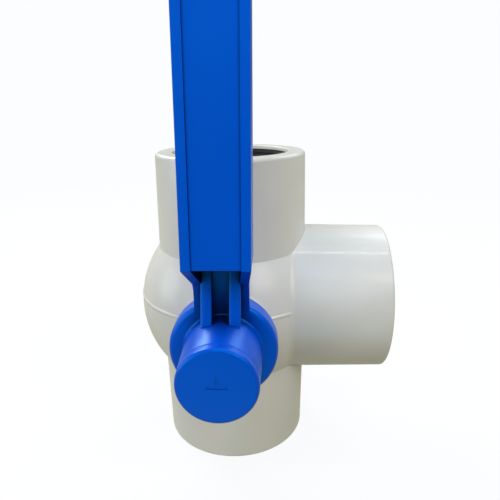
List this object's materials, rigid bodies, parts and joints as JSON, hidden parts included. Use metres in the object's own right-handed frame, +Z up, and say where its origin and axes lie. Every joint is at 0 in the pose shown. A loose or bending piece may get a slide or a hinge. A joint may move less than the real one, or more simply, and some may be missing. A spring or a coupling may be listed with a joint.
{
  "type": "three-way ball valve",
  "caption": "Three-way plastic ball valve with plain pipe sockets, a tee-ported ball and a lever handle on its stem.",
  "frame": {"origin": "centre of the lower socket's mouth, on the plane that the valve stands on", "axes": "+Z up along the two in-line sockets, +X out of the side socket, -Y out of the stem"},
  "size_m": [0.0709, 0.078, 0.1481],
  "materials": {
    "body_plastic": "glossy white pipe plastic",
    "ball_plastic": "polished white plastic",
    "seat_plastic": "waxy white seat plastic",
    "stem_plastic": "white plastic",
    "seal_rubber": "black seal rubber",
    "lever_plastic": "glossy blue moulded plastic",
    "screw_steel": "plain steel"
  },
  "bodies": {
    "valve_body": {"valve_body": "body_plastic", "top_connector": "body_plastic", "bottom_connector": "body_plastic", "side_seat_carrier": "body_plastic", "top_mouth_ring": "seal_rubber", "bottom_mouth_ring": "seal_rubber", "side_mouth_ring": "seal_rubber", "top_seat": "seat_plastic", "bottom_seat": "seat_plastic", "side_seat": "seat_plastic", "top_seat_cushion": "seal_rubber", "bottom_seat_cushion": "seal_rubber", "side_seat_cushion": "seal_rubber", "stem_thrust_washer": "seat_plastic"},
    "lever": {"lever": "lever_plastic", "lever_cap": "lever_plastic", "lever_washer": "screw_steel", "lever_screw": "screw_steel", "stem": "stem_plastic", "stem_o_ring_inner": "seal_rubber", "stem_o_ring_outer": "seal_rubber"},
    "ball": {"ball": "ball_plastic"}
  },
  "joints": [
    {"name": "lever_turn", "type": "hinge", "parent": "valve_body", "child": "lever", "pos_m": [0, -0.035, 0.0431], "axis": [0, 1, 0], "range_deg": [0, 180]},
    {"name": "ball_turn", "type": "hinge", "parent": "valve_body", "child": "ball", "pos_m": [0, 0, 0.0431], "axis": [0, 1, 0], "range_deg": [0, 180]}
  ],
  "couplings": [
    {"joint": "ball_turn", "follows": "lever_turn", "ratio": 1}
  ]
}
